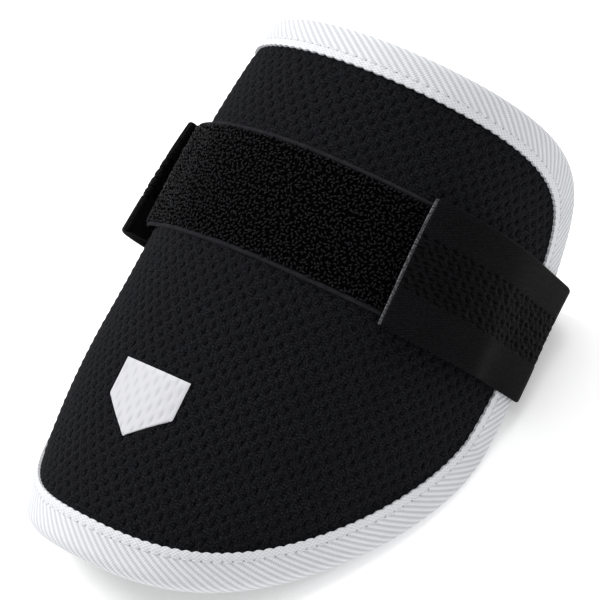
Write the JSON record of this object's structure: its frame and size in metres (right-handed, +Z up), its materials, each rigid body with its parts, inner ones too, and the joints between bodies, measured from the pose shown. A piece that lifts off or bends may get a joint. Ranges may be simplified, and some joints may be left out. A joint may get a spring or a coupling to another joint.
{
  "type": "baseball elbow guard",
  "caption": "Curved padded elbow guard in black mesh cloth with a white taped rim, a hook-and-loop band across the front and a fastened elastic strap, lying open side down.",
  "frame": {"origin": "on the floor under the middle of the guard's box, as it lies on its rims and its strap with the open side down", "axes": "+X across the arm, towards the side where the strap's free end fastens; +Y along the arm, towards the square upper end; +Z up"},
  "size_m": [0.1754, 0.2254, 0.1389],
  "materials": {
    "mesh_cloth": "black double-mesh knit with staggered dents, matte with a faint sheen",
    "binding_tape": "white twill tape, matte",
    "hook_band": "deep black loop pile, slightly shiny, with smooth selvages",
    "knit_elastic": "black ribbed elastic with an open-knit middle zone, matte",
    "hook_patch": "dark grey hook tape, matte",
    "mark_film": "white heat-pressed film, satin"
  },
  "bodies": {
    "root": {"pad_shell": "mesh_cloth", "edge_binding": "binding_tape", "fastener_band": "hook_band", "elastic_strap": "knit_elastic", "strap_end_patch": "hook_patch", "front_mark": "mark_film"}
  },
  "joints": []
}
